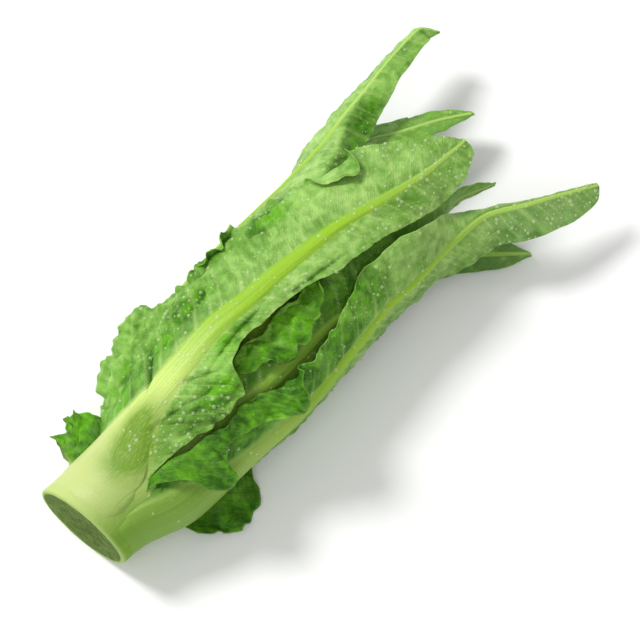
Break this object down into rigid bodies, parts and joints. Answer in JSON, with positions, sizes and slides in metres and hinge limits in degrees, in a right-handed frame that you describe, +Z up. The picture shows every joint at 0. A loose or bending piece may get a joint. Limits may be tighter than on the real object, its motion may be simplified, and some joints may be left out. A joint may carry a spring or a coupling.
{
  "type": "a-choy lettuce",
  "caption": "Head of sword-leaf lettuce lying on its side: a cut stem with long pointed leaves wrapped round it and nested inside one another.",
  "frame": {"origin": "middle of the head's footprint on the surface it rests on", "axes": "+X along the head from the cut stem towards the leaf tips, +Z up from the surface"},
  "size_m": [0.334, 0.1502, 0.0798],
  "materials": {
    "stem": "smooth pale green stalk, satin, with a duller wet-looking cut face",
    "leaf_outer": "satin leaf, crinkled, with a pale ribbed midrib and fine side veins",
    "leaf_second": "satin leaf with a pale midrib",
    "leaf_inner": "soft satin young leaf",
    "leaf_heart": "soft pale young leaf",
    "water": "clear water drops"
  },
  "bodies": {
    "root": {"stem": "stem", "leaf_front": "leaf_outer", "leaf_right": "leaf_outer", "leaf_left": "leaf_outer", "leaf_under": "leaf_outer", "leaf_between": "leaf_second", "leaf_behind": "leaf_second", "leaf_lower_left": "leaf_second", "leaf_lower_right": "leaf_second", "leaf_lower_middle": "leaf_second", "leaf_young_top": "leaf_inner", "leaf_young_right": "leaf_inner", "leaf_young_left": "leaf_inner", "leaf_young_under": "leaf_inner", "leaf_heart_right": "leaf_heart", "leaf_heart_left": "leaf_heart"}
  },
  "joints": []
}
